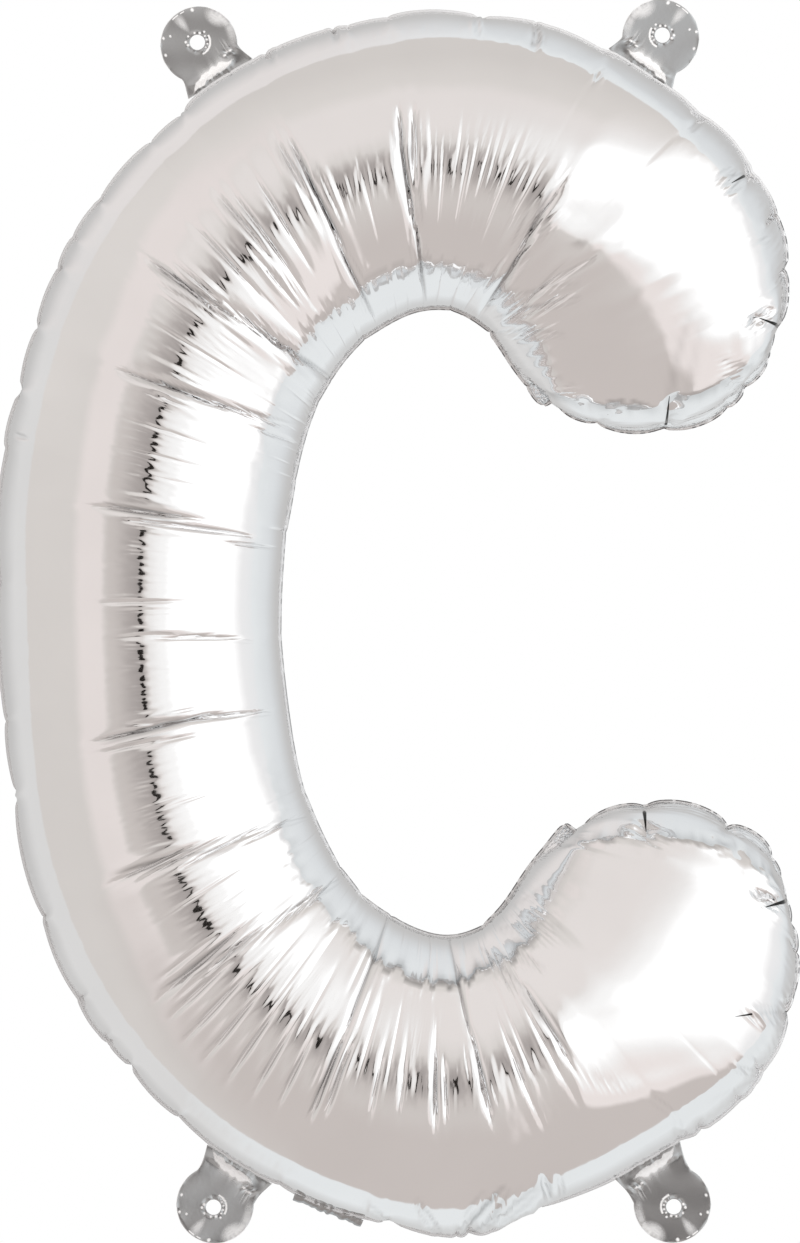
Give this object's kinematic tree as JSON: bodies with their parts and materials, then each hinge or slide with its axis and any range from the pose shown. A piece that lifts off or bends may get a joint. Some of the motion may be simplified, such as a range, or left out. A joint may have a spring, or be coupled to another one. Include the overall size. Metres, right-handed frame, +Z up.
{
  "type": "letter foil balloon",
  "caption": "Silver foil letter C blown up with air, two welded sheets with hanging tabs and a filling neck folded up behind.",
  "frame": {"origin": "the middle of the line between the holes of the two top tabs, in the plane of the weld", "axes": "+Z up the letter's height, +X to the reader's right, the letter's front faces -Y"},
  "size_m": [0.2623, 0.08, 0.4067],
  "materials": {
    "silver_foil": "mirror-bright metallised film, wrinkled",
    "border_foil": "bright metallised film, heat welded and crimped",
    "tab_foil": "flat welded film, satin with creases",
    "tail_foil": "flat welded film, satin"
  },
  "bodies": {
    "envelope": {"film_front": "silver_foil", "film_back": "silver_foil", "seam_border": "border_foil"},
    "tab_top_right": {"tab_top_right": "tab_foil"},
    "tab_top_left": {"tab_top_left": "tab_foil"},
    "tab_bottom_left": {"tab_bottom_left": "tab_foil"},
    "tab_bottom_right": {"tab_bottom_right": "tab_foil"},
    "inflation_tail": {"inflation_tail": "tail_foil"}
  },
  "joints": [
    {"name": "tab_top_right_fold", "type": "hinge", "parent": "envelope", "child": "tab_top_right", "pos_m": [0.06882, 0, -0.00954], "axis": [-0.8388, 0, 0.5444], "range_deg": [-70, 70], "stiffness_Nm_per_rad": 0.0001},
    {"name": "tab_top_left_fold", "type": "hinge", "parent": "envelope", "child": "tab_top_left", "pos_m": [-0.0686, 0, -0.01264], "axis": [-0.8461, 0, -0.533], "range_deg": [-70, 70], "stiffness_Nm_per_rad": 0.0001},
    {"name": "tab_bottom_left_fold", "type": "hinge", "parent": "envelope", "child": "tab_bottom_left", "pos_m": [-0.06233, 0, -0.36778], "axis": [0.8545, 0, -0.5195], "range_deg": [-70, 70], "stiffness_Nm_per_rad": 0.0001},
    {"name": "tab_bottom_right_fold", "type": "hinge", "parent": "envelope", "child": "tab_bottom_right", "pos_m": [0.07106, 0, -0.36633], "axis": [0.8685, 0, 0.4957], "range_deg": [-70, 70], "stiffness_Nm_per_rad": 0.0001},
    {"name": "inflation_tail_fold", "type": "hinge", "parent": "envelope", "child": "inflation_tail", "pos_m": [-0.03092, 0, -0.38318], "axis": [0.9317, 0, -0.3633], "range_deg": [-140, 0], "stiffness_Nm_per_rad": 0.0001}
  ]
}
